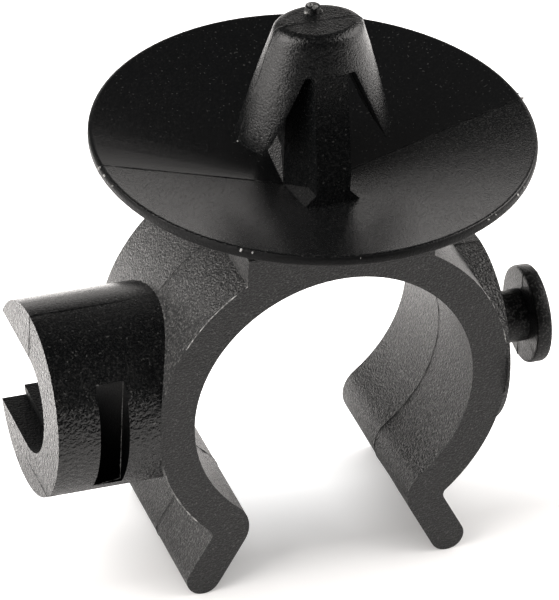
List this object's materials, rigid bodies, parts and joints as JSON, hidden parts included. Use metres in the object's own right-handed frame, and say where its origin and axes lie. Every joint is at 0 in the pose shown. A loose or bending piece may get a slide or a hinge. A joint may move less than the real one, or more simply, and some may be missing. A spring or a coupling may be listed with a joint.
{
  "type": "conduit clip",
  "caption": "Moulded snap-in clip: an open split ring holds a corrugated conduit, a sprung dish and arrowhead lock into a panel hole, and a stud and socket link clips side by side.",
  "frame": {"origin": "centre of the conduit bore at mid width", "axes": "+Y along the conduit bore, +X towards the link stud, +Z towards the panel arrowhead"},
  "size_m": [0.029, 0.0238, 0.0325],
  "materials": {
    "polyamide": "matte"
  },
  "bodies": {
    "root": {"clip": "polyamide"}
  },
  "joints": []
}
